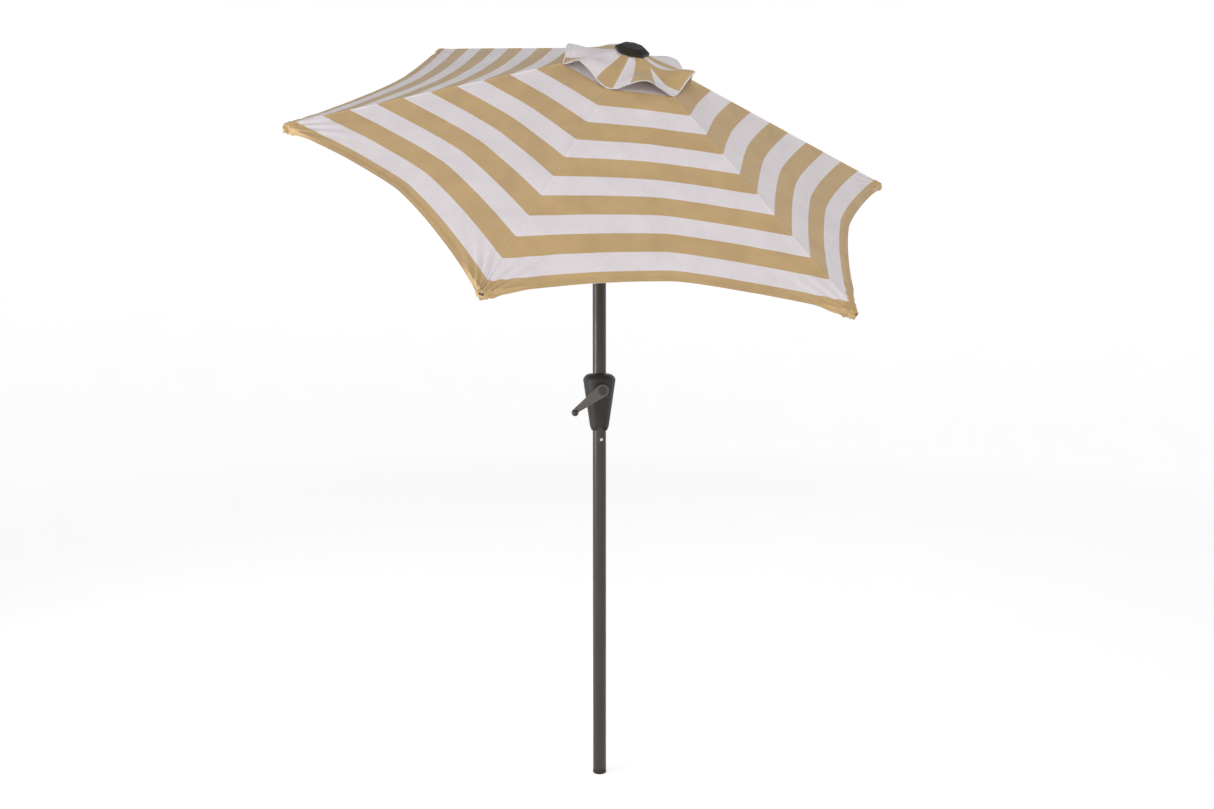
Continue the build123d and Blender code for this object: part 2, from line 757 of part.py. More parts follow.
# ---- Runner -----------------------------------------------------------------------------------
with BuildPart() as runner:
    with BuildSketch(upper.offset(runner_z - runner_below)):
        Circle(runner_r)
    extrude(amount=runner_below + runner_above)
    chamfer(runner.edges().filter_by(GeomType.CIRCLE), runner_edge)
    strut_side = strut_width / 2 + ear_gap
    ear_start = pole_r + ear_root
    for number in range(rib_count):
        with BuildSketch(sideways(spoke(number))):
            middle = (ear_reach + ear_start) / 2
            with Locations((middle, runner_z + (ear_above - ear_below) / 2)):
                Rectangle(ear_reach - ear_start, ear_below + ear_above)
        extrude(amount=strut_side + ear_thickness, both=True)
    for number in range(rib_count):
        with BuildSketch(sideways(spoke(number))):
            with Locations((ear_reach, runner_z + (ear_above - ear_below) / 2)):
                Rectangle(2 * (ear_reach - runner_r), ear_below + ear_above + cut)
        extrude(amount=strut_side, both=True, mode=Mode.SUBTRACT)
        with BuildSketch(sideways(spoke(number), (rib_pivot_r, 0, runner_z))):
            Circle(joint_pin_r + slot_gap)
            with Locations((0, -ear_below / 2 - cut)):
                Rectangle(2 * (joint_pin_r + slot_gap), ear_below + 2 * cut)
        extrude(amount=strut_side + ear_thickness + cut, both=True, mode=Mode.SUBTRACT)
    with BuildSketch(upper.offset(runner_z - runner_below - cut)):
        Circle(pole_r + runner_gap)
    extrude(amount=runner_below + runner_above + 2 * cut, mode=Mode.SUBTRACT)
keep(runner.part, "runner")

# ---- Ribs, struts and canopy, one set for each rib -----------------------------------------------
plate_slope = math.atan(math.tan(slope) / math.cos(math.radians(rib_pitch / 2)))
tip_r = canopy_apex_r + canopy_reach * math.cos(slope)
flap_r = canopy_apex_r + flap_reach * math.cos(slope)


def half_panel(number, side, start_r, end_r, bow, rise):
    """One flat half of a panel, from its rib to the seam halfway to the next rib."""
    middle = on(spoke(number), (0, 0, 0), (0, 0, side * rib_pitch / 2))
    peak = canopy_apex + canopy_apex_r * math.tan(slope) + rise
    plate = on(middle, (0, 0, peak), (0, math.degrees(plate_slope), 0))
    across = math.sin(math.radians(rib_pitch / 2))
    down = math.cos(math.radians(rib_pitch / 2)) / math.cos(plate_slope)
    with BuildPart() as half:
        with BuildSketch(plate):
            with BuildLine():
                ThreePointArc(
                    (end_r * down, -end_r * across),
                    (end_r * down - bow, 0),
                    (end_r * down, end_r * across),
                )
                Polyline(
                    (end_r * down, end_r * across),
                    (start_r * down, start_r * across),
                    (start_r * down, -start_r * across),
                    (end_r * down, -end_r * across),
                )
            make_face()
            with Locations((end_r / 2, side * (end_r / 2 - cloth_seam_gap / 2))):
                Rectangle(2 * end_r, end_r, mode=Mode.SUBTRACT)
        extrude(amount=-cloth)
    return half.part


for number, letter in enumerate(rib_names):
    here = rib_frame(number)
    with BuildPart() as rib:
        with BuildSketch(sideways(here)):
            Circle(rib_height / 2)
            with Locations((rib_eye_end / 2, 0)):
                Rectangle(rib_eye_end, rib_height)
        extrude(amount=rib_eye_width / 2, both=True)
        with BuildSketch(along_x(here, (rib_tube_start, 0, 0))):
            RectangleRounded(rib_height, rib_width, rib_corner)
        extrude(amount=rib_end - rib_tube_start)
        with BuildSketch(along_x(here, (rib_eye_end, 0, 0))):
            RectangleRounded(
                rib_height - 2 * rib_wall, rib_width - 2 * rib_wall, rib_corner - rib_wall
            )
        extrude(amount=rib_end, mode=Mode.SUBTRACT)
        with BuildSketch(sideways(here)):
            Circle(joint_pin_r + running_gap)
        extrude(amount=rib_width, both=True, mode=Mode.SUBTRACT)
    keep(rib.part, f"rib_{letter}")

    with BuildPart() as rib_tip:
        with BuildSketch(along_x(here, (rib_end, 0, 0))):
            RectangleRounded(tip_height, tip_width, tip_corner)
        extrude(amount=tip_head)
        fillet(rib_tip.faces().sort_by(Axis(here.origin, here.x_dir))[-1].edges(), tip_corner)
        wall = rib_wall + plug_gap
        with BuildSketch(along_x(here, (rib_end, 0, 0))):
            RectangleRounded(
                rib_height - 2 * wall, rib_width - 2 * wall, rib_corner - wall
            )
        extrude(amount=-tip_plug)
    keep(rib_tip.part, f"rib_tip_{letter}")

    cheek = rib_width / 2 + plug_gap
    bracket_pivot = (bracket_place, 0, -strut_drop)
    with BuildPart() as rib_bracket:
        with BuildSketch(along_x(here, (bracket_place - bracket_length / 2, 0, 0))):
            with Locations((bracket_reach / 2 - bracket_lip / 2, 0)):
                Rectangle(bracket_reach + bracket_lip, 2 * (cheek + bracket_plate))
                Rectangle(bracket_reach + bracket_lip, 2 * cheek, mode=Mode.SUBTRACT)
            with Locations((rib_height / 2 + plug_gap + bracket_plate / 2, 0)):
                Rectangle(bracket_plate, 2 * cheek)
        extrude(amount=bracket_length)
        with BuildSketch(sideways(here, bracket_pivot)):
            Circle(bracket_pin_r + plug_gap)
        extrude(amount=rib_width, both=True, mode=Mode.SUBTRACT)
        with BuildSketch(sideways(here, bracket_pivot)):
            Circle(bracket_pin_r)
        extrude(amount=cheek + bracket_plate + bracket_pin_proud, both=True)
    keep(rib_bracket.part, f"rib_bracket_{letter}")

    arm = strut_frame(number)
    with BuildPart() as strut:
        with BuildSketch(sideways(arm)):
            with Locations((link / 2, 0)):
                SlotCenterToCenter(link, strut_height)
        extrude(amount=strut_width / 2, both=True)
        with BuildSketch(sideways(arm)):
            with Locations((link / 2, strut_web)):
                Rectangle(link - 2 * strut_end, strut_height)
        extrude(amount=strut_width / 2 - strut_wall, both=True, mode=Mode.SUBTRACT)
        with BuildSketch(sideways(arm)):
            Circle(bracket_pin_r + running_gap)
            with Locations((link, 0)):
                Circle(joint_pin_r + plug_gap)
        extrude(amount=strut_width, both=True, mode=Mode.SUBTRACT)
        with BuildSketch(sideways(arm, (link, 0, 0))):
            Circle(joint_pin_r)
        extrude(amount=strut_pin_half_length, both=True)
    keep(strut.part, f"strut_{letter}")

    with BuildPart() as canopy_gore:
        for side in (-1, 1):
            add(half_panel(number, side, cloth_start_r, tip_r, hem_bow, 0))
        for side in (-1, 1):
            add(half_panel(number, side, flap_start_r, flap_r, flap_bow, flap_rise))
    keep(canopy_gore.part, f"canopy_gore_{letter}")

# ---- Lift cord ------------------------------------------------------------------------------------
cord_side = direction(crank_azimuth + 90)
behind = direction(tilt_azimuth + 180)
cord_start = crank_height + math.sqrt(winding_r**2 - drum_r**2) + cord_start_gap
cord_bottom = Vector(*cord_side) * drum_cord_r
cord_top = Vector(*behind) * cord_inside
socket_bottom = main_pole_top - knuckle_plug_length
with BuildPart() as lift_cord_lower:
    with BuildLine() as riser:
        FilletPolyline(
            cord_bottom + Vector(0, 0, cord_start),
            cord_bottom + Vector(0, 0, cord_start + cord_lead),
            cord_top + Vector(0, 0, socket_bottom - cord_lead),
            cord_top + Vector(0, 0, pivot_height),
            radius=cord_bend_r,
        )
    with BuildSketch(Plane(riser.line @ 0, z_dir=riser.line % 0)):
        Circle(cord_r)
    sweep()
keep(lift_cord_lower.part, "lift_cord_lower")

with BuildPart() as lift_cord_bend:
    with BuildSketch(on(knuckle, (-cord_inside, 0, 0))):
        Circle(cord_r)
    revolve(axis=Axis(knuckle.origin, knuckle.y_dir), revolution_arc=tilt_angle)
keep(lift_cord_bend.part, "lift_cord_bend")

with BuildPart() as lift_cord_upper:
    with BuildLine(sideways(upper)) as riser:
        FilletPolyline(
            (-cord_inside, 0),
            (-cord_inside, fork_collar_top + knuckle_plug_length + cord_lead),
            (-cord_back, pulley_level - pulley_r - cord_lead),
            (-cord_back, pulley_level),
            radius=cord_bend_r,
        )
        ThreePointArc(
            (-cord_back, pulley_level),
            (-pulley_x, pulley_level + pulley_cord_r),
            (-cord_front, pulley_level),
        )
    with BuildSketch(Plane(riser.line @ 0, z_dir=riser.line % 0)):
        Circle(cord_r)
    sweep()
keep(lift_cord_upper.part, "lift_cord_upper")

with BuildPart() as lift_cord_run:
    with BuildSketch(on(upper, (-cord_front, 0, runner_z + runner_above))):
        Circle(cord_r)
    extrude(amount=pulley_level - runner_z - runner_above)
keep(lift_cord_run.part, "lift_cord_run")
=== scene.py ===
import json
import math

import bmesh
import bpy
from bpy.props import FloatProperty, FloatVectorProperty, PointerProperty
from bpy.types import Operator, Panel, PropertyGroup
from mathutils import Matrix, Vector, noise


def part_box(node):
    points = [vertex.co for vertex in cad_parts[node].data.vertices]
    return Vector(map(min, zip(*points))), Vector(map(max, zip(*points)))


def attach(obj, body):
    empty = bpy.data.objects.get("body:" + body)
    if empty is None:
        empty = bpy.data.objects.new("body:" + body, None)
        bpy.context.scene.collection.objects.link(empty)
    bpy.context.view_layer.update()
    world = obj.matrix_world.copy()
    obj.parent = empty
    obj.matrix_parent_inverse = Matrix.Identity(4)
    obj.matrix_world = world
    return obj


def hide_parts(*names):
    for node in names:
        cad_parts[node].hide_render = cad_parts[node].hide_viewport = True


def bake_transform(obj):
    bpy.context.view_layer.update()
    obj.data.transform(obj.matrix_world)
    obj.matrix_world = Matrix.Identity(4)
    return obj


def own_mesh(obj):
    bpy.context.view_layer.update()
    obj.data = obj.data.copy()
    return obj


bl_info = {
    "name": "Tilting Market Umbrella",
    "version": (1, 0, 0),
    "blender": (4, 5, 0),
    "location": "3D View > Sidebar > Umbrella",
    "description": "Cloth, seams, cord and finishes for a leaning crank umbrella",
    "category": "Add Mesh",
}

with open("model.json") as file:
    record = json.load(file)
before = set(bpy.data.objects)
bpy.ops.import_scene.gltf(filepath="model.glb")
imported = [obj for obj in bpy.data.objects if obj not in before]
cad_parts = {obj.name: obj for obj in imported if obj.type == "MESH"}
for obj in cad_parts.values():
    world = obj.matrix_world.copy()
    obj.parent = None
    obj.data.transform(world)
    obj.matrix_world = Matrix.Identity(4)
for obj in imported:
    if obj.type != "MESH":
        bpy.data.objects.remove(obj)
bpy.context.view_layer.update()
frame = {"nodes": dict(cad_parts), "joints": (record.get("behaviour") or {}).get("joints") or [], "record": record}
joints = {joint["name"]: joint for joint in frame["joints"]}
hinge = Vector(joints["tilt"]["pos_m"])
up = -Vector(joints["runner_slide"]["axis"])
letters = "abcdef"
turn = 2 * math.pi / len(letters)


# ---- Sizes and colours a user would change ---------------------------------------------
class ClothSizes(PropertyGroup):
    """The canopy's cut."""

    reach: FloatProperty(
        name="Rib reach",
        description="From the apex ring to the tip, along a rib",
        default=0.850,
        unit="LENGTH",
    )
    slope: FloatProperty(
        name="Rib slope",
        description="How far a rib falls below level",
        default=math.radians(19.2),
        subtype="ANGLE",
    )
    apex_height: FloatProperty(
        name="Apex height",
        description="Apex ring above the tilt hinge, along the leaning pole",
        default=0.445,
        unit="LENGTH",
    )
    apex_radius: FloatProperty(
        name="Apex ring",
        description="Radius at which the cloth's slope starts",
        default=0.030,
        unit="LENGTH",
    )
    inner_radius: FloatProperty(
        name="Vent opening",
        description="Radius of the main cloth's inner edge",
        default=0.062,
        unit="LENGTH",
    )
    bow: FloatProperty(
        name="Hem curve",
        description="How far the hem curves in between two tips",
        default=0.070,
        unit="LENGTH",
    )
    sag: FloatProperty(
        name="Panel sag",
        description="How far a panel's middle hangs below flat",
        default=0.012,
        unit="LENGTH",
    )
    stripe: FloatProperty(
        name="Stripe",
        description="Width of one stripe",
        default=0.0665,
        unit="LENGTH",
    )
    hem_stripe: FloatProperty(
        name="Hem stripe",
        description="Width of the part stripe along the hem",
        default=0.0385,
        unit="LENGTH",
    )
    thickness: FloatProperty(
        name="Thickness",
        description="Thickness of the cloth",
        default=0.0009,
        unit="LENGTH",
    )
    flap_reach: FloatProperty(
        name="Vent flap reach",
        description="From the apex ring to the vent flap's hem, along a rib",
        default=0.146,
        unit="LENGTH",
    )


class Finish(PropertyGroup):
    """The colours of the cloth and of the hardware."""

    tan: FloatVectorProperty(
        name="Tan stripe",
        description="Colour of the coloured stripes",
        default=(0.466, 0.316, 0.148),
        subtype="COLOR",
    )
    white: FloatVectorProperty(
        name="Pale stripe",
        description="Colour of the pale stripes",
        default=(0.665, 0.618, 0.644),
        subtype="COLOR",
    )
    bronze: FloatVectorProperty(
        name="Pole paint",
        description="Colour of the pole, ribs and struts",
        default=(0.029, 0.0230, 0.0185),
        subtype="COLOR",
    )
    housing: FloatVectorProperty(
        name="Housing plastic",
        description="Colour of the crank housing, hub and runner",
        default=(0.015, 0.0115, 0.0090),
        subtype="COLOR",
    )
    crank: FloatVectorProperty(
        name="Crank paint",
        description="Colour of the crank arm",
        default=(0.092, 0.078, 0.069),
        subtype="COLOR",
    )


class StageSizes(PropertyGroup):
    """The room the umbrella is shown in."""

    camera_place: FloatVectorProperty(
        name="Camera",
        description="Where the camera stands",
        default=(0.0216, -2.5168, 1.2638),
        subtype="TRANSLATION",
    )
    camera_pitch: FloatProperty(
        name="Camera pitch",
        description="How far the camera looks down",
        default=math.radians(4.3),
        subtype="ANGLE",
    )
    lens: FloatProperty(
        name="Lens",
        description="Focal length on a 36 mm sensor, in millimetres",
        default=26.42,
        unit="CAMERA",
    )


def sizes():
    return bpy.context.scene.umbrella_cloth


def finish():
    return bpy.context.scene.umbrella_finish


# ---- The cloth's finer sizes -----------------------------------------------------------
BOW_SHAPE = 1.5  # 2 is a plain arc; less pulls the curve towards its middle
RIDGE_HEIGHT = 0.0011
RIDGE_WIDTH = 0.0028
GROOVE_SHARE = 0.35  # of the ridge's height
GROOVE_PLACE = 2.2  # in ridge widths from the rib
HEM_FOLD = 0.0006
HEM_WIDTH = 0.016
TIP_GATHER = 0.0052
TIP_GATHER_SPREAD = 0.050
TIP_GATHERS = 8.5
TIP_GATHER_CENTRE = 0.02  # the gathers fan out from this far past the tip
TIP_GATHER_START = 0.02  # they grow to full size over this distance
CORNER_TURN = 0.0190  # how far the cloth's corner turns down over a rib's end
CORNER_TURN_LENGTH = 0.0090
CORNER_HALF_WIDTH = (0.010, 0.105)  # full turn, no turn
RIPPLES = ((9.0, 0.0013), (26.0, 0.0005))  # waves per metre, height
RIPPLE_GROWTH = 12  # the ripples reach full size over 1/12 of the half panel
SHARP_EDGE = 40  # degrees


# ---- Places worked out from the frame --------------------------------------------------
def rib_joint(number):
    name = "canopy_fold" if number == 0 else f"rib_{letters[number]}_fold"
    return joints[name]


def spoke(number):
    """(outward, sideways) of one rib, both square to the leaning pole."""
    sideways = Vector(rib_joint(number)["axis"])
    return sideways.cross(up), sideways


def half_axes(number, side):
    """(outward, sideways) at the middle of the panel on one side of a rib."""
    rotation = Matrix.Rotation(side * turn / 2, 3, up)
    outward, sideways = spoke(number)
    return rotation @ outward, rotation @ sideways


def panel_fall():
    """The slope of a flat panel between two ribs, down its middle."""
    return math.atan(math.tan(sizes().slope) / math.cos(turn / 2))


def radius_at(along):
    return sizes().apex_radius + along * math.cos(sizes().slope)


def on_panel(number, side, along, across, bow):
    """A point of a flat panel: across runs from 0 at the rib to 1 halfway to the next rib."""
    cloth = sizes()
    outward, sideways = half_axes(number, side)
    radius = radius_at(along)
    edge = 1 - across
    fall = panel_fall()
    down = outward * math.cos(fall) - up * math.sin(fall)
    normal = outward * math.sin(fall) + up * math.cos(fall)
    place = (
        hinge
        + up * (cloth.apex_height - along * math.sin(cloth.slope))
        + outward * radius * math.cos(turn / 2)
        - sideways * side * radius * math.sin(turn / 2) * edge
        - down * bow * (1 - edge**BOW_SHAPE)
    )
    return place, normal


def ridge(distance):
    """The raised seam over a rib, with a shallow groove beside it."""
    t = distance / RIDGE_WIDTH
    groove = GROOVE_SHARE * RIDGE_HEIGHT * math.exp(-((t - GROOVE_PLACE) ** 2))
    return RIDGE_HEIGHT * math.exp(-t * t) - groove


def smoothstep(value, low, high):
    t = min(1.0, max(0.0, (value - low) / (high - low)))
    return t * t * (3 - 2 * t)


def cloth_height(number, side, along, across, place):
    """How far the cloth stands off its flat panel."""
    cloth = sizes()
    share = radius_at(along) / radius_at(cloth.reach)
    edge = 1 - across
    height = -cloth.sag * share * (1 - edge**2)
    distance = across * radius_at(along) * math.sin(turn / 2)
    height += ridge(distance)
    to_hem = cloth.reach - along
    if to_hem < HEM_WIDTH:
        height += HEM_FOLD
    turned_down = smoothstep(along, cloth.reach - CORNER_TURN_LENGTH, cloth.reach)
    height -= CORNER_TURN * turned_down * (1 - smoothstep(distance, *CORNER_HALF_WIDTH))
    tip = math.hypot(to_hem, distance)
    angle = math.atan2(distance, to_hem + TIP_GATHER_CENTRE)
    fade = math.exp(-tip / TIP_GATHER_SPREAD) * min(1.0, tip / TIP_GATHER_START)
    height += TIP_GATHER * fade * math.sin(2 * TIP_GATHERS * angle + number)
    ripple = sum(noise.noise(place * scale) * size for scale, size in RIPPLES)
    return height + ripple * min(1.0, across * RIPPLE_GROWTH)


def grid_mesh(name, rows, columns, place, flat, edge):
    """A sheet of quads, with one map for its stripes and weave and one for its hem."""
    mesh = bpy.data.meshes.new(name)
    points = [place(i, j) for i in range(rows) for j in range(columns)]
    quads = [
        (i * columns + j, i * columns + j + 1, (i + 1) * columns + j + 1, (i + 1) * columns + j)
        for i in range(rows - 1)
        for j in range(columns - 1)
    ]
    mesh.from_pydata(points, [], quads)
    for label, spot in (("cloth", flat), ("edge", edge)):
        layer = mesh.uv_layers.new(name=label)
        for loop in mesh.loops:
            i, j = divmod(loop.vertex_index, columns)
            layer.data[loop.index].uv = spot(i, j)
    return mesh


def face_up(mesh, direction):
    """Turns the whole sheet over if its faces look away from a direction."""
    total = Vector((0, 0, 0))
    for polygon in mesh.polygons:
        total += polygon.normal * polygon.area
    if total.dot(direction) < 0:
        mesh.flip_normals()


def smooth(mesh, sharp):
    mesh.shade_smooth()
    mesh.set_sharp_from_angle(angle=math.radians(sharp))


def show(name, mesh, material, sharp=SHARP_EDGE):
    """An object for a finished mesh, smooth apart from its sharp edges."""
    piece = bpy.data.objects.new(name, mesh)
    bpy.context.scene.collection.objects.link(piece)
    mesh.materials.append(material)
    smooth(mesh, sharp)
    return piece


def thicken(piece, thickness):
    """Gives a sheet its two faces and its edge, and keeps the result as its mesh."""
    solid = piece.modifiers.new("Thickness", "SOLIDIFY")
    solid.thickness = thickness
    solid.offset = -1
    solid.use_even_offset = False
    graph = bpy.context.evaluated_depsgraph_get()
    mesh = bpy.data.meshes.new_from_object(
        piece.evaluated_get(graph), preserve_all_data_layers=True, depsgraph=graph
    )
    piece.modifiers.clear()
    piece.data = mesh
    smooth(mesh, SHARP_EDGE)


def gather(piece, number, side):
    """Gives the piece its own copy of its mesh; nothing here draws the cloth in as the ribs fold."""
    cloth = sizes()
    tip, _ = on_panel(number, side, cloth.reach, 0, 0)
    top, _ = on_panel(number, side, 0, 0, 0)
    _, normal = on_panel(number, side, cloth.reach, 0, 0)
    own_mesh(piece)
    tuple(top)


def area_of(mesh):
    return sum(polygon.area for polygon in mesh.polygons)


# ---- Materials -------------------------------------------------------------------------
class Nodes:
    """A short way to write a material's nodes and the links between them."""

    def __init__(self, name):
        self.material = bpy.data.materials.new(name)
        self.material.use_nodes = True
        self.tree = self.material.node_tree
        self.shader = self.tree.nodes["Principled BSDF"]

    def set(self, **values):
        for label, value in values.items():
            socket = self.shader.inputs[label.replace("_", " ")]
            if hasattr(value, "is_output"):
                self.tree.links.new(value, socket)
            else:
                socket.default_value = value

    def add(self, kind, links=(), **settings):
        node = self.tree.nodes.new(kind)
        for label, value in settings.items():
            setattr(node, label, value)
        for socket, value in dict(links).items():
            if hasattr(value, "is_output"):
                self.tree.links.new(value, node.inputs[socket])
            else:
                node.inputs[socket].default_value = value
        return node

    def math(self, operation, a, b=0.0, clamp=False):
        node = self.add("ShaderNodeMath", {0: a, 1: b}, operation=operation)
        node.use_clamp = clamp
        return node.outputs[0]

    def noise(self, place, scale, detail=3.0, roughness=0.55):
        links = {"Vector": place, "Scale": scale, "Detail": detail, "Roughness": roughness}
        return self.add("ShaderNodeTexNoise", links).outputs["Fac"]

    def range(self, value, low, high, to_low, to_high):
        links = {0: value, 1: low, 2: high, 3: to_low, 4: to_high}
        return self.add("ShaderNodeMapRange", links).outputs[0]

    def mix(self, share, a, b):
        node = self.add("ShaderNodeMix", data_type="RGBA")
        for index, value in ((0, share), (6, a), (7, b)):
            socket = node.inputs[index]
            if hasattr(value, "is_output"):
                self.tree.links.new(value, socket)
            else:
                socket.default_value = value
        return node.outputs[2]

    def bump(self, height, strength, distance, under=None):
        links = {"Height": height, "Strength": strength, "Distance": distance}
        if under is not None:
            links["Normal"] = under
        return self.add("ShaderNodeBump", links).outputs[0]

    def place(self):
        return self.add("ShaderNodeTexCoord").outputs["Object"]


def rgba(colour, light=1.0):
    return (colour[0] * light, colour[1] * light, colour[2] * light, 1.0)


THREAD_PITCH = 0.0011  # two threads of the plain weave
STITCH_ROWS = (0.0035, 0.0125)  # from the hem
STITCH_LENGTH = 0.0042
STITCH_COLOUR = (0.30, 0.21, 0.12)
SLUB_COLOUR = (0.33, 0.26, 0.19)


def cloth_material(name, pale_hem=0.0):
    """Striped outdoor cloth: plain weave, a stitched hem and slight unevenness in the dye."""
    cloth, colours = sizes(), finish()
    n = Nodes(name)
    spot = n.add("ShaderNodeUVMap", uv_map="cloth").outputs[0]
    split = n.add("ShaderNodeSeparateXYZ", {0: spot})
    phase = n.math("FRACT", n.math("DIVIDE", split.outputs[1], 2 * cloth.stripe))
    tan = n.math("LESS_THAN", phase, 0.5)
    place = n.place()
    mottle = n.noise(place, 14.0, 4.0)
    slub = n.noise(place, 420.0, 2.0)
    tan_colour = n.mix(
        n.range(mottle, 0.35, 0.65, 0.0, 1.0),
        rgba(colours.tan, 0.93),
        rgba(colours.tan, 1.06),
    )
    white_colour = n.mix(
        n.range(mottle, 0.35, 0.65, 0.0, 1.0),
        rgba(colours.white, 0.96),
        rgba(colours.white, 1.03),
    )
    edge = n.add("ShaderNodeUVMap", uv_map="edge").outputs[0]
    hem = n.add("ShaderNodeSeparateXYZ", {0: edge})
    tan = n.math("MULTIPLY", tan, n.math("GREATER_THAN", hem.outputs[1], pale_hem))
    colour = n.mix(tan, white_colour, tan_colour)
    colour = n.mix(n.range(slub, 0.42, 0.75, 0.0, 0.22), colour, rgba(SLUB_COLOUR))
    threads = 2 * math.pi / THREAD_PITCH
    warp = n.math("SINE", n.math("MULTIPLY", split.outputs[0], threads))
    weft = n.math("SINE", n.math("MULTIPLY", split.outputs[1], threads))
    weave = n.math("MULTIPLY", warp, weft)
    stitches = None
    for row in STITCH_ROWS:
        off = n.math("ABSOLUTE", n.math("SUBTRACT", hem.outputs[1], row))
        line = n.range(off, 0.0004, 0.0011, 1.0, 0.0)
        dash = n.math("SINE", n.math("MULTIPLY", hem.outputs[0], 2 * math.pi / STITCH_LENGTH))
        line = n.math("MULTIPLY", line, n.range(dash, -0.5, 0.2, 0.25, 1.0))
        stitches = line if stitches is None else n.math("MAXIMUM", stitches, line)
    colour = n.mix(n.math("MULTIPLY", stitches, 0.5), colour, rgba(STITCH_COLOUR))
    weave_bump = n.bump(weave, 0.35, 0.0003)
    crumple = n.bump(n.noise(place, 60.0, 4.0), 0.12, 0.004, weave_bump)
    n.set(
        Base_Color=colour,
        Roughness=n.range(mottle, 0.3, 0.7, 0.80, 0.92),
        Sheen_Weight=0.25,
        Sheen_Roughness=0.45,
        Specular_IOR_Level=0.25,
        Normal=n.bump(stitches, 0.6, 0.0006, crumple),
    )
    return n.material


def paint_material(name, colour, metal, rough):
    """Powder coat: satin, with a faint orange peel and lighter rubbed patches."""
    n = Nodes(name)
    place = n.place()
    rub = n.noise(place, 7.0, 6.0, 0.65)
    peel = n.noise(place, 900.0, 2.0)
    speck = n.noise(place, 160.0, 3.0)
    body = n.mix(n.range(rub, 0.40, 0.72, 0.0, 1.0), rgba(colour, 0.90), rgba(colour, 1.18))
    n.set(
        Base_Color=n.mix(n.range(speck, 0.62, 0.8, 0.0, 0.35), body, rgba(colour, 1.9)),
        Metallic=metal,
        Roughness=n.range(n.noise(place, 22.0, 4.0), 0.3, 0.7, rough - 0.05, rough + 0.08),
        Coat_Weight=0.08,
        Coat_Roughness=0.25,
        Normal=n.bump(peel, 0.10, 0.0004),
    )
    return n.material


def plastic_material(name, colour, rough, grain=700.0, strength=0.25):
    """Moulded plastic with a spark-eroded grain and a little dust in it."""
    n = Nodes(name)
    place = n.place()
    cells = n.add("ShaderNodeTexVoronoi", {"Vector": place, "Scale": grain})
    texture = cells.outputs["Distance"]
    dust = n.noise(place, 16.0, 5.0, 0.6)
    body = n.mix(n.range(dust, 0.42, 0.75, 0.0, 1.0), rgba(colour, 0.95), rgba(colour, 1.5))
    n.set(
        Base_Color=body,
        Roughness=n.range(dust, 0.3, 0.7, rough - 0.04, rough + 0.10),
        Specular_IOR_Level=0.35,
        Normal=n.bump(texture, strength, 0.0003),
    )
    return n.material


def steel_material(name, colour, rough):
    """Plated or drawn steel with fine scratches and a cloudy plating."""
    n = Nodes(name)
    place = n.place()
    drawn = n.add("ShaderNodeMapping", {0: place, 3: (40.0, 40.0, 900.0)})
    scratch = n.noise(drawn.outputs[0], 3.0)
    cloud = n.noise(place, 60.0, 4.0)
    n.set(
        Base_Color=n.mix(
            n.range(cloud, 0.35, 0.7, 0.0, 1.0), rgba(colour, 0.85), rgba(colour, 1.1)
        ),
        Metallic=1.0,
        Roughness=n.range(scratch, 0.3, 0.7, rough - 0.06, rough + 0.10),
        Normal=n.bump(scratch, 0.15, 0.0002),
    )
    return n.material


BRAID_ACROSS = 0.0022
BRAID_ALONG = 0.0045


def cord_material(name, colour):
    """Braided cord: two sets of strands that cross, with painted shade in the gaps between them."""
    n = Nodes(name)
    place = n.place()
    side = Vector(joints["pulley_spin"]["axis"])

    def waves(way, pitch):
        links = {0: place, 1: way}
        along = n.add("ShaderNodeVectorMath", links, operation="DOT_PRODUCT").outputs["Value"]
        return n.math("MULTIPLY", along, 2 * math.pi / pitch)

    around = waves(side, BRAID_ACROSS)
    lengthways = waves(up, BRAID_ALONG)
    left = n.math("SINE", n.math("ADD", around, lengthways))
    right = n.math("SINE", n.math("SUBTRACT", around, lengthways))
    braid = n.math("MAXIMUM", left, right)
    fuzz = n.noise(place, 800.0, 2.0)
    # The colour is painted shade: the gaps between the strands, where neither set stands up, are darkened to 0.55
    # of the cord's colour.
    n.set(
        Base_Color=n.mix(n.range(braid, -0.4, 0.9, 0.0, 1.0), rgba(colour, 0.55), rgba(colour)),
        Roughness=n.range(fuzz, 0.3, 0.7, 0.75, 0.95),
        Sheen_Weight=0.3,
        Normal=n.bump(braid, 0.6, 0.0005),
    )
    return n.material


class UMBRELLA_OT_hardware(Operator):
    """Give each pole, housing, joint and rib its own finish"""

    bl_idname = "umbrella.hardware"
    bl_label = "Hardware finishes"

    def execute(self, context):
        colours = finish()
        made = {
            "pole_paint": paint_material("pole_paint", colours.bronze, 0.12, 0.40),
            "housing_plastic": plastic_material("housing_plastic", colours.housing, 0.42),
            "crank_metal": paint_material("crank_paint", colours.crank, 0.15, 0.45),
            "knob_plastic": plastic_material(
                "knob_plastic", (0.035, 0.030, 0.028), 0.28, 900.0, 0.08
            ),
            "steel": steel_material("plated_steel", (0.60, 0.59, 0.57), 0.30),
            "spring_steel": steel_material("spring_steel", (0.42, 0.41, 0.40), 0.38),
            "bearing_plastic": plastic_material("nylon", (0.62, 0.60, 0.54), 0.40, 500.0, 0.08),
            "tip_plastic": plastic_material("tip_plastic", (0.045, 0.037, 0.031), 0.45),
            "canopy_cloth": cloth_material("striped_cloth"),
            "lift_cord": cord_material("braided_cord", (0.50, 0.47, 0.42)),
        }
        for part in frame["record"]["subparts"]:
            node = frame["nodes"][part["node"]]
            node.data.materials.clear()
            node.data.materials.append(made[part["material_slot"]])
        return {"FINISHED"}


# ---- Crank cap -------------------------------------------------------------------------
CAP_SIDES = 72
CAP_REACH = 0.0135  # of the arm's hub that the cap lies on
CAP_PROFILE = (  # distance from the shaft's axis, height above the arm
    (0.0000, 0.00075),
    (0.0086, 0.00075),
    (0.0091, 0.00035),
    (0.0097, 0.00035),
    (0.0102, 0.00085),
    (0.0118, 0.00085),
    (0.0124, 0.00030),
    (0.0124, -0.00010),
)


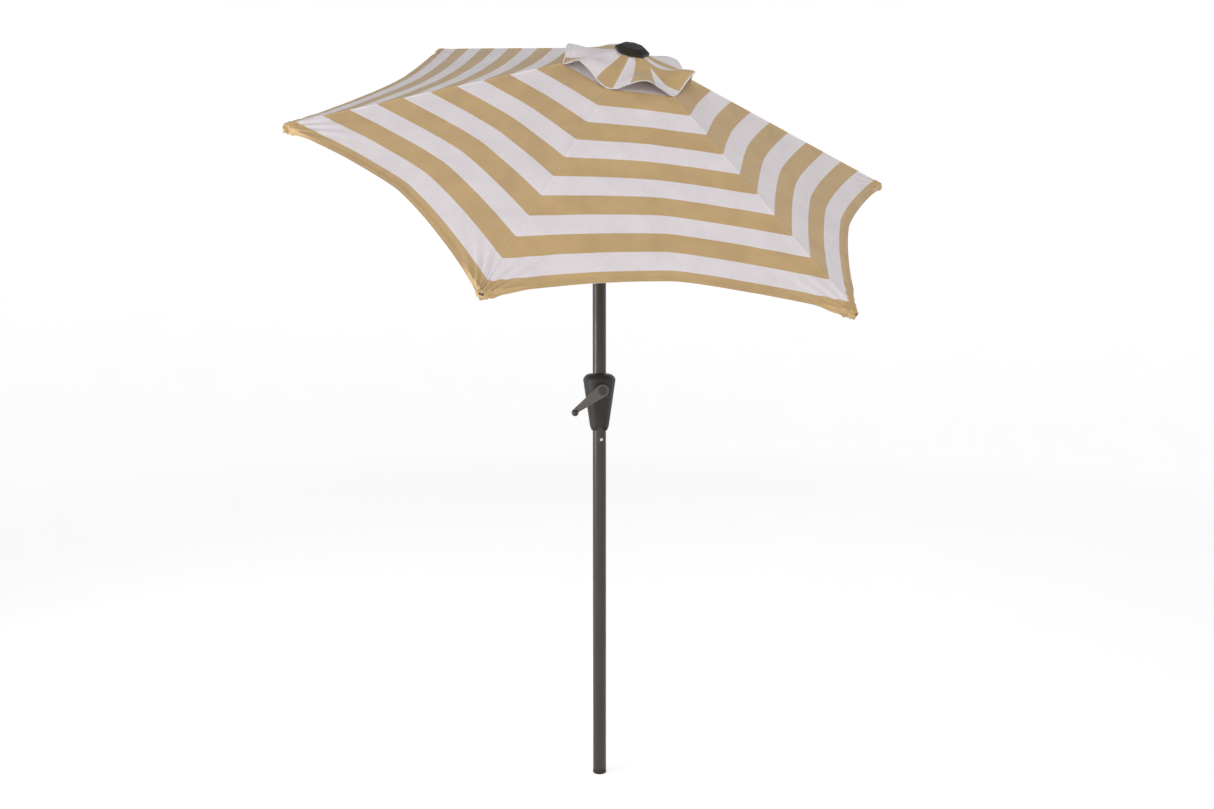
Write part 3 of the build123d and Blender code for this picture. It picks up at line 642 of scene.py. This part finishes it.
class UMBRELLA_OT_cap(Operator):
    """Press the grooved cap over the end of the crank's shaft"""

    bl_idname = "umbrella.cap"
    bl_label = "Crank cap"

    def execute(self, context):
        axle = joints["crank_turn"]
        out = Vector(axle["axis"])
        side = out.cross(Vector((0, 0, 1)))
        arm = frame["nodes"]["crank_arm"].data
        centre = Vector(axle["pos_m"])
        near = [v.co for v in arm.vertices if (v.co - centre).cross(out).length < CAP_REACH]
        face = max((spot - centre).dot(out) for spot in near)

        def place(i, j):
            radius, height = CAP_PROFILE[i]
            angle = 2 * math.pi * j / CAP_SIDES
            way = side * math.cos(angle) + out.cross(side) * math.sin(angle)
            return centre + out * (face + height) + way * radius

        def flat(i, j):
            return i, j

        mesh = grid_mesh("crank_cap", len(CAP_PROFILE), CAP_SIDES + 1, place, flat, flat)
        mesh.update()
        face_up(mesh, out)
        material = plastic_material("cap_plastic", (0.040, 0.034, 0.030), 0.40, 900.0, 0.12)
        piece = show("crank_cap", mesh, material, 30)
        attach(piece, "crank")
        return {"FINISHED"}


# ---- Cloth -----------------------------------------------------------------------------
PANEL_ROWS = 120
PANEL_COLUMNS = 46
RIB_CROWDING = 1.5  # columns crowd towards the rib, where the seam is
CORNER_CROWDING = 1.6  # rows crowd towards the hem


def stripe_phase(along):
    """The stripe map's coordinate, so that a coloured stripe starts at every second width."""
    cloth = sizes()
    return cloth.reach - along - cloth.hem_stripe + cloth.stripe


def half_panel(number, side):
    """The main cloth from one rib to halfway across the panel beside it."""
    cloth = sizes()
    start = (cloth.inner_radius - cloth.apex_radius) / math.cos(cloth.slope)

    def along_at(i):
        back = (1 - i / (PANEL_ROWS - 1)) ** CORNER_CROWDING
        return cloth.reach - (cloth.reach - start) * back

    def across_at(j):
        return (j / (PANEL_COLUMNS - 1)) ** RIB_CROWDING

    def bow_at(along):
        return cloth.bow * (radius_at(along) / radius_at(cloth.reach)) ** 2

    def place(i, j):
        along, across = along_at(i), across_at(j)
        flat, normal = on_panel(number, side, along, across, bow_at(along))
        return flat + normal * cloth_height(number, side, along, across, flat)

    def lateral(i, j):
        return across_at(j) * radius_at(along_at(i)) * math.sin(turn / 2)

    def flat(i, j):
        return lateral(i, j), stripe_phase(along_at(i))

    def edge(i, j):
        return lateral(i, j), cloth.reach - along_at(i)

    name = f"canopy_{letters[number]}_{'right' if side > 0 else 'left'}"
    mesh = grid_mesh(name, PANEL_ROWS, PANEL_COLUMNS, place, flat, edge)
    face_up(mesh, up)
    return name, mesh


def dress(name, mesh, number, side, material, width, length):
    """Makes a finished half into a thick cloth piece that rides its rib."""
    area = area_of(mesh)
    piece = show(name, mesh, material)
    thicken(piece, sizes().thickness)
    rib = f"rib_{letters[number]}"
    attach(piece, rib)
    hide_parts(f"canopy_gore_{letters[number]}")
    gather(piece, number, side)


class UMBRELLA_OT_canopy(Operator):
    """Stretch the striped cloth over the ribs, in halves that ride their rib"""

    bl_idname = "umbrella.canopy"
    bl_label = "Canopy cloth"

    def execute(self, context):
        reach = sizes().reach
        material = bpy.data.materials["striped_cloth"]
        for number in range(len(letters)):
            for side in (-1, 1):
                name, mesh = half_panel(number, side)
                dress(name, mesh, number, side, material, radius_at(reach) / 2, reach)
        return {"FINISHED"}


# ---- Vent flap -------------------------------------------------------------------------
FLAP_ROWS = 46
FLAP_COLUMNS = 34
FLAP_START = 0.031  # under the finial
FLAP_LIFT_START = 0.052
FLAP_LIFT_END = 0.150
FLAP_GAP = 0.0022  # above the main cloth
FLAP_COLLAR = 0.0040  # rise of the inner edge, up to the finial
FLAP_LOBES = (0.80, 0.78, 0.86, 0.50, 0.34, 0.52)  # how far each panel's lobe stands up
FLAP_HEM = 0.0030  # the pale edge
FLAP_ROW_SPREAD = 0.85
FLAP_SCALLOP = 0.035  # how far the hem curves in between ribs, as a share of its radius
FLAP_CROWN = 0.35  # of the main cloth's slope, as far as the flap lies on its own top
FLAP_CROWN_RISE = 0.0005
FLAP_RUFFLES = ((17.0, 0.005), (48.0, 0.0016))  # waves per metre, height
FLAP_RUFFLE_START = 0.07
BAND_SPREAD = 0.6  # how much wider a colour band grows towards the hem
# Where the flap's colour changes, in degrees about the rib that each sewn length is centred on.
# A length starts with the coloured band if its first value is -60, else with the pale one.
FLAP_BANDS = {
    1: (-60, -57, -12, 4, 17, 39, 61),
    3: (-61, -51, -25, -12, 12, 40, 61),
    5: (-60, -45, -20, 10, 48, 61),
}


def flap_lobe(number, side):
    """Lobes are numbered by the panel after each rib, so a lobe's two halves agree."""
    return FLAP_LOBES[number if side > 0 else number - 1]


def turned(ribs):
    """A count of ribs round the canopy, the short way."""
    return (ribs + 3) % 6 - 3


def band_count(middle, away):
    """How many colour changes lie before an angle: even counts are coloured."""
    changes = [math.radians(change) for change in FLAP_BANDS[middle]]
    first = 0 if FLAP_BANDS[middle][0] == -60 else 1
    for count, (start, end) in enumerate(zip(changes, changes[1:])):
        if away <= end or count == len(changes) - 2:
            return first + count + min(0.999, max(0.001, (away - start) / (end - start)))


def half_flap(number, side):
    """The vent flap from one rib to halfway: low on the rib, standing up between ribs."""
    cloth = sizes()
    outward, sideways = spoke(number)
    hem_radius = radius_at(cloth.flap_reach)
    half = turn / 2
    fall = math.tan(panel_fall())

    def polar(i, j):
        angle = half * j / (FLAP_COLUMNS - 1)
        share = (i / (FLAP_ROWS - 1)) ** FLAP_ROW_SPREAD
        hem = hem_radius * (1 - FLAP_SCALLOP * math.sin(math.pi * angle / half) ** 2)
        return FLAP_START + (hem - FLAP_START) * share, angle

    def place(i, j):
        radius, angle = polar(i, j)
        lift = flap_lobe(number, side) * (1 - math.cos(2 * math.pi * angle / turn)) / 2
        lift *= smoothstep(radius, FLAP_LIFT_START, FLAP_LIFT_END)
        level = cloth.apex_height + cloth.apex_radius * math.tan(cloth.slope)
        down = radius * math.cos(half - angle) * fall
        rest = max(0.0, radius - cloth.apex_radius) * math.tan(cloth.slope)
        height = level - down * (1 - lift) - cloth.apex_radius * math.tan(cloth.slope) * lift
        crown = cloth.apex_height - FLAP_CROWN * rest * (1 - lift) + FLAP_CROWN_RISE
        height = min(height, crown)
        height += FLAP_GAP * smoothstep(radius, FLAP_START, FLAP_LIFT_START)
        height += FLAP_COLLAR * (1 - smoothstep(radius, FLAP_START, FLAP_LIFT_START))
        way = math.cos(angle) * outward + math.sin(angle) * side * sideways
        flat = hinge + up * height + way * radius
        ruffle = sum(noise.noise(flat * scale) * size for scale, size in FLAP_RUFFLES)
        free = smoothstep(radius, FLAP_RUFFLE_START, hem_radius)
        ruffle *= free * smoothstep(angle, 0.0, half / 3)
        return flat + up * ruffle

    def flat(i, j):
        radius, angle = polar(i, j)
        middle = min(FLAP_BANDS, key=lambda rib: abs(turned(number + 0.1 * side - rib)))
        away = turned(number - middle) * turn + side * angle
        away *= BAND_SPREAD * radius / hem_radius + (1 - BAND_SPREAD)
        return radius, cloth.stripe * band_count(middle, away)

    def edge(i, j):
        radius, angle = polar(i, j)
        hem = polar(FLAP_ROWS - 1, j)[0]
        return angle * radius, hem - radius

    name = f"vent_flap_{letters[number]}_{'right' if side > 0 else 'left'}"
    mesh = grid_mesh(name, FLAP_ROWS, FLAP_COLUMNS, place, flat, edge)
    face_up(mesh, up)
    return name, mesh


class UMBRELLA_OT_flap(Operator):
    """Lay the vent flap over the opening at the top of the canopy"""

    bl_idname = "umbrella.flap"
    bl_label = "Vent flap"

    def execute(self, context):
        material = cloth_material("striped_cloth_pale_hem", FLAP_HEM)
        radius = radius_at(sizes().flap_reach)
        for number in range(len(letters)):
            for side in (-1, 1):
                name, mesh = half_flap(number, side)
                dress(name, mesh, number, side, material, radius / 2, radius)
        return {"FINISHED"}


# ---- Tip pockets -----------------------------------------------------------------------
POCKET_ROWS = 40
POCKET_COLUMNS = 56
POCKET_LENGTH = 0.062
POCKET_GIRTH = 0.078
POCKET_PAST_TIP = 0.0014
POCKET_ROUND = 0.007  # the closed end's rounding
POCKET_OPENING = math.radians(42)  # half of the slit along its underside
POCKET_CORNER = 0.0065  # how much wider the pocket is where it meets the canopy's corner
POCKET_CORNER_LENGTH = 0.020
POCKET_GATHERS = 9
POCKET_FOLD = 0.0008
POCKET_FOLD_LEAST = 0.35  # of a gather's depth, away from where the pocket is drawn in
POCKET_DRAWN_IN = 0.014  # back from the closed end
POCKET_DRAWN_SPREAD = 0.012
POCKET_FOLD_TURN = 1.7  # so that no two pockets are gathered alike
POCKET_HALF_WIDTH = 0.0078
POCKET_HALF_HEIGHT = 0.0094
POCKET_CORNER_DROP = 0.0012  # how much flatter the pocket is at the corner
POCKET_SLIT = (0.016, 0.034)  # the slit opens between these, back from the closed end
POCKET_SQUARENESS = 0.75  # 1 is round, less is squarer
POCKET_CLOTH = 0.0007
POCKET_STRIPE_SHARE = 0.3
POCKET_EDGE = 0.001
CLOTH_TO_RIB = 0.011
TIP_INSET = 0.004


def squared(wave):
    """A sine or cosine with fuller shoulders, for a section between round and square."""
    return abs(wave) ** POCKET_SQUARENESS * math.copysign(1, wave)


def pocket(number):
    """The sewn pocket that holds a rib's tip: a gathered sleeve, closed at its end."""
    top, _ = on_panel(number, 1, 0, 0, 0)
    tip, _ = on_panel(number, 1, sizes().reach, 0, 0)
    along = (tip - top).normalized()
    outward, sideways = spoke(number)
    normal = sideways.cross(along)
    if normal.dot(up) < 0:
        normal = -normal
    centre = tip - normal * CLOTH_TO_RIB
    end = -TIP_INSET + POCKET_PAST_TIP

    def ring(i):
        """(distance back from the pocket's closed end, share of the full section)"""
        back = POCKET_LENGTH * (1 - math.cos(i / (POCKET_ROWS - 1) * math.pi / 2))
        close = math.sqrt(1 - (1 - min(1.0, back / POCKET_ROUND)) ** 2)
        return back, close

    def place(i, j):
        back, close = ring(i)
        slit = POCKET_OPENING * smoothstep(back, *POCKET_SLIT)
        angle = (slit - math.pi) * (1 - 2 * j / (POCKET_COLUMNS - 1))
        corner = math.exp(-((back / POCKET_CORNER_LENGTH) ** 2))
        wide = POCKET_HALF_WIDTH + POCKET_CORNER * corner
        tall = POCKET_HALF_HEIGHT - POCKET_CORNER_DROP * corner
        fold = math.sin(POCKET_GATHERS * angle + POCKET_FOLD_TURN * number) * POCKET_FOLD
        drawn_in = math.exp(-(((back - POCKET_DRAWN_IN) / POCKET_DRAWN_SPREAD) ** 2))
        fold *= POCKET_FOLD_LEAST + drawn_in
        bend = squared(math.sin(angle))
        rise = squared(math.cos(angle))
        across = sideways * (wide + fold) * bend * close
        height = normal * (tall + 0.5 * fold) * rise * close
        return centre + along * (end - back) + across + height

    def flat(i, j):
        back = ring(i)[0] * POCKET_STRIPE_SHARE
        return j / POCKET_COLUMNS * POCKET_GIRTH, sizes().stripe / 2 - back

    def edge(i, j):
        return j / POCKET_COLUMNS * POCKET_GIRTH, POCKET_LENGTH - ring(i)[0] + POCKET_EDGE

    name = f"tip_pocket_{letters[number]}"
    mesh = grid_mesh(name, POCKET_ROWS, POCKET_COLUMNS, place, flat, edge)
    mesh.update()
    inside = centre + along * end / 2
    outward_area = sum((p.center - inside).dot(p.normal) * p.area for p in mesh.polygons)
    if outward_area < 0:
        mesh.flip_normals()
    return name, mesh


class UMBRELLA_OT_pockets(Operator):
    """Sew a pocket over the end of each rib"""

    bl_idname = "umbrella.pockets"
    bl_label = "Tip pockets"

    def execute(self, context):
        material = bpy.data.materials["striped_cloth"]
        for number, letter in enumerate(letters):
            name, mesh = pocket(number)
            area = area_of(mesh)
            piece = show(name, mesh, material)
            thicken(piece, POCKET_CLOTH)
            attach(piece, f"rib_{letter}")
        return {"FINISHED"}


# ---- Lift cord -------------------------------------------------------------------------
CORD_RADIUS = 0.0015
CORD_SIDES = 16
CORD_STEPS = 120
STRANDS = 4
STRAND_RELIEF = 0.06
STRAND_TWIST = 0.9
WELD_DISTANCE = 0.00001


class UMBRELLA_OT_cord(Operator):
    """Run the braided lift cord from the hub's pulley down to the runner"""

    bl_idname = "umbrella.cord"
    bl_label = "Lift cord"

    def execute(self, context):
        low, high = (Vector(corner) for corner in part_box("lift_cord_run"))
        level = 2 * CORD_RADIUS * math.sqrt(1 - up.z**2)
        half = up * ((high.z - low.z - level) / up.z / 2)
        middle = (low + high) / 2
        side = Vector(joints["pulley_spin"]["axis"])
        front = side.cross(up)

        def place(i, j):
            spot = middle + half * (1 - 2 * i / (CORD_STEPS - 1))
            angle = 2 * math.pi * j / CORD_SIDES
            left = math.cos(STRANDS * angle + STRAND_TWIST * i)
            right = math.cos(STRANDS * angle - STRAND_TWIST * i)
            strand = 1 + STRAND_RELIEF * left * right
            way = side * math.cos(angle) + front * math.sin(angle)
            return spot + way * CORD_RADIUS * strand

        def flat(i, j):
            return j / CORD_SIDES, i / CORD_STEPS

        mesh = grid_mesh("lift_cord", CORD_STEPS, CORD_SIDES + 1, place, flat, flat)
        piece = show("lift_cord", mesh, bpy.data.materials["braided_cord"])
        weld = bmesh.new()
        weld.from_mesh(mesh)
        bmesh.ops.remove_doubles(weld, verts=weld.verts, dist=WELD_DISTANCE)
        bmesh.ops.holes_fill(weld, edges=weld.edges)
        bmesh.ops.recalc_face_normals(weld, faces=weld.faces)
        weld.to_mesh(mesh)
        weld.free()
        smooth(mesh, 60)
        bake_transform(piece)
        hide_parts("lift_cord_run")
        return {"FINISHED"}


# ---- Stage -----------------------------------------------------------------------------
LIGHTS = (  # name, place, aim, size, power
    ("key", (0.3, -4.2, 3.1), (0, 0, 1.5), 2.0, 66),
    ("fill", (3.0, -2.6, 2.4), (0, 0, 1.4), 2.4, 5),
    ("back", (0.5, 3.4, 3.4), (0, 0, 1.6), 2.4, 14),
    ("strip", (-2.4, -0.9, 1.1), (0, 0, 1.0), 0.5, 34),
)
ROOM_RADIUS = 11.0
ROOM_CURVE = 3.0
ROOM_HEIGHT = 9.0
ROOM_SIDES = 96
ROOM_STEPS = 12  # of the curve between floor and wall
ROOM_COLOUR = (0.62, 0.62, 0.62)
ROOM_GLOW = 0.54
WORLD_LIGHT = 0.28
SENSOR_WIDTH = 36.0


class UMBRELLA_OT_stage(Operator):
    """Set the floor, the backdrop, the soft lights and the camera"""

    bl_idname = "umbrella.stage"
    bl_label = "Stage"

    def execute(self, context):
        stage_material = plain_material("studio_floor", ROOM_COLOUR, 0.9)
        floor = show("studio_floor", room_mesh("studio_floor"), stage_material, 60)
        place = context.scene.umbrella_stage
        data = bpy.data.cameras.new("camera")
        data.sensor_width = SENSOR_WIDTH
        data.lens = place.lens
        data.clip_start = 0.05
        camera = bpy.data.objects.new("camera", data)
        context.scene.collection.objects.link(camera)
        camera.location = place.camera_place
        camera.rotation_euler = (math.radians(90) - place.camera_pitch, 0, 0)
        context.scene.camera = camera
        for label, spot, target, size, power in LIGHTS:
            add_light(label, spot, target, size, power)
        world = bpy.data.worlds.new("studio")
        world.use_nodes = True
        background = world.node_tree.nodes["Background"]
        background.inputs[0].default_value = (1.0, 1.0, 1.0, 1.0)
        background.inputs[1].default_value = WORLD_LIGHT
        context.scene.world = world
        context.scene.view_settings.view_transform = "Standard"
        return {"FINISHED"}


def plain_material(name, colour, rough):
    """The pale, faintly uneven surface of the room, which glows so that nothing is in shade."""
    n = Nodes(name)
    shade = n.noise(n.place(), 2.0, 2.0)
    n.set(
        Base_Color=n.mix(
            n.range(shade, 0.3, 0.7, 0.0, 1.0), rgba(colour, 0.99), rgba(colour, 1.01)
        ),
        Roughness=rough,
        Specular_IOR_Level=0.1,
        Emission_Color=(1.0, 1.0, 1.0, 1.0),
        Emission_Strength=ROOM_GLOW,
    )
    return n.material


def room_mesh(name):
    """A round floor that curves up into a wall on every side."""
    profile = [(0.02, 0.0), (ROOM_RADIUS - ROOM_CURVE, 0.0)]
    for step in range(1, ROOM_STEPS + 1):
        angle = math.radians(90) * step / ROOM_STEPS
        out = ROOM_RADIUS - ROOM_CURVE + ROOM_CURVE * math.sin(angle)
        profile.append((out, ROOM_CURVE - ROOM_CURVE * math.cos(angle)))
    profile.append((ROOM_RADIUS, ROOM_HEIGHT))

    def place(i, j):
        out, height = profile[i]
        angle = 2 * math.pi * j / ROOM_SIDES
        return out * math.cos(angle), out * math.sin(angle), height

    def flat(i, j):
        return i, j

    mesh = grid_mesh(name, len(profile), ROOM_SIDES + 1, place, flat, flat)
    face_up(mesh, Vector((0, 0, 1)))
    return mesh


def add_light(label, spot, target, size, power):
    """A square soft light that faces its target."""
    data = bpy.data.lights.new(label, "AREA")
    data.size = size
    data.energy = power
    light = bpy.data.objects.new(label, data)
    bpy.context.scene.collection.objects.link(light)
    light.location = spot
    light.rotation_euler = (Vector(target) - Vector(spot)).to_track_quat("-Z", "Y").to_euler()


# ---- Panel and registration ------------------------------------------------------------
OPERATORS = (
    UMBRELLA_OT_hardware,
    UMBRELLA_OT_cap,
    UMBRELLA_OT_canopy,
    UMBRELLA_OT_flap,
    UMBRELLA_OT_pockets,
    UMBRELLA_OT_cord,
    UMBRELLA_OT_stage,
)


class UMBRELLA_PT_main(Panel):
    """The umbrella's sizes, finishes and steps"""

    bl_label = "Umbrella"
    bl_idname = "UMBRELLA_PT_main"
    bl_space_type = "VIEW_3D"
    bl_region_type = "UI"
    bl_category = "Umbrella"

    def draw(self, context):
        for settings in (
            context.scene.umbrella_cloth,
            context.scene.umbrella_finish,
            context.scene.umbrella_stage,
        ):
            box = self.layout.box()
            for key in settings.__annotations__:
                box.prop(settings, key)
        for operator in OPERATORS:
            self.layout.operator(operator.bl_idname)


GROUPS = (
    ("umbrella_cloth", ClothSizes),
    ("umbrella_finish", Finish),
    ("umbrella_stage", StageSizes),
)


def register():
    for name, group in GROUPS:
        bpy.utils.register_class(group)
        setattr(bpy.types.Scene, name, PointerProperty(type=group))
    for kind in (*OPERATORS, UMBRELLA_PT_main):
        bpy.utils.register_class(kind)


def unregister():
    for kind in (UMBRELLA_PT_main, *reversed(OPERATORS)):
        bpy.utils.unregister_class(kind)
    for name, group in reversed(GROUPS):
        delattr(bpy.types.Scene, name)
        bpy.utils.unregister_class(group)


def main():
    register()
    bpy.ops.umbrella.hardware()
    bpy.ops.umbrella.cap()
    bpy.ops.umbrella.canopy()
    bpy.ops.umbrella.flap()
    bpy.ops.umbrella.pockets()
    bpy.ops.umbrella.cord()
    bpy.ops.umbrella.stage()


if __name__ == "__main__":
    main()
